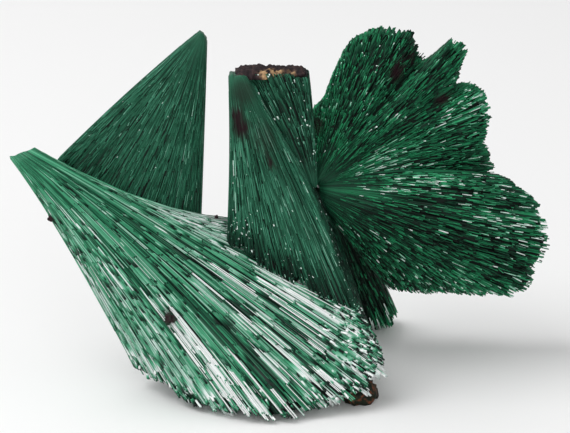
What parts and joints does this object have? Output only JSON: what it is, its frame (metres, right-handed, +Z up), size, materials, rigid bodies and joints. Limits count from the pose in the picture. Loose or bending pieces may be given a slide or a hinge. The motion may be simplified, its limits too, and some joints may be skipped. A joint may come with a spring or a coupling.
{
  "type": "malachite crystal spray",
  "caption": "Spray of radiating green malachite needles: a wide leaning fan, an upright wing, a flat-topped column and a lobed fan, with scraps of brown rock.",
  "frame": {"origin": "on the ground under the middle of the specimen's bounding box", "axes": "+X to the right along the longest side, +Y away from the viewer, +Z up"},
  "size_m": [0.0652, 0.0374, 0.0424],
  "materials": {
    "light_green": "silky light teal-green needles",
    "wing_green": "silky grey-green needles",
    "column_green": "silky blue-green needles",
    "dark_green": "silky very dark green needles",
    "rear_green": "dark green needles with silvery ends",
    "rock_cap": "rough dark brown rock",
    "rock_chip": "rough dark brown rock"
  },
  "bodies": {
    "root": {"front_fan": "light_green", "wing_fan": "wing_green", "centre_column": "column_green", "right_fan": "dark_green", "rear_spray": "rear_green", "matrix_cap": "rock_cap", "matrix_chip": "rock_chip"}
  },
  "joints": []
}
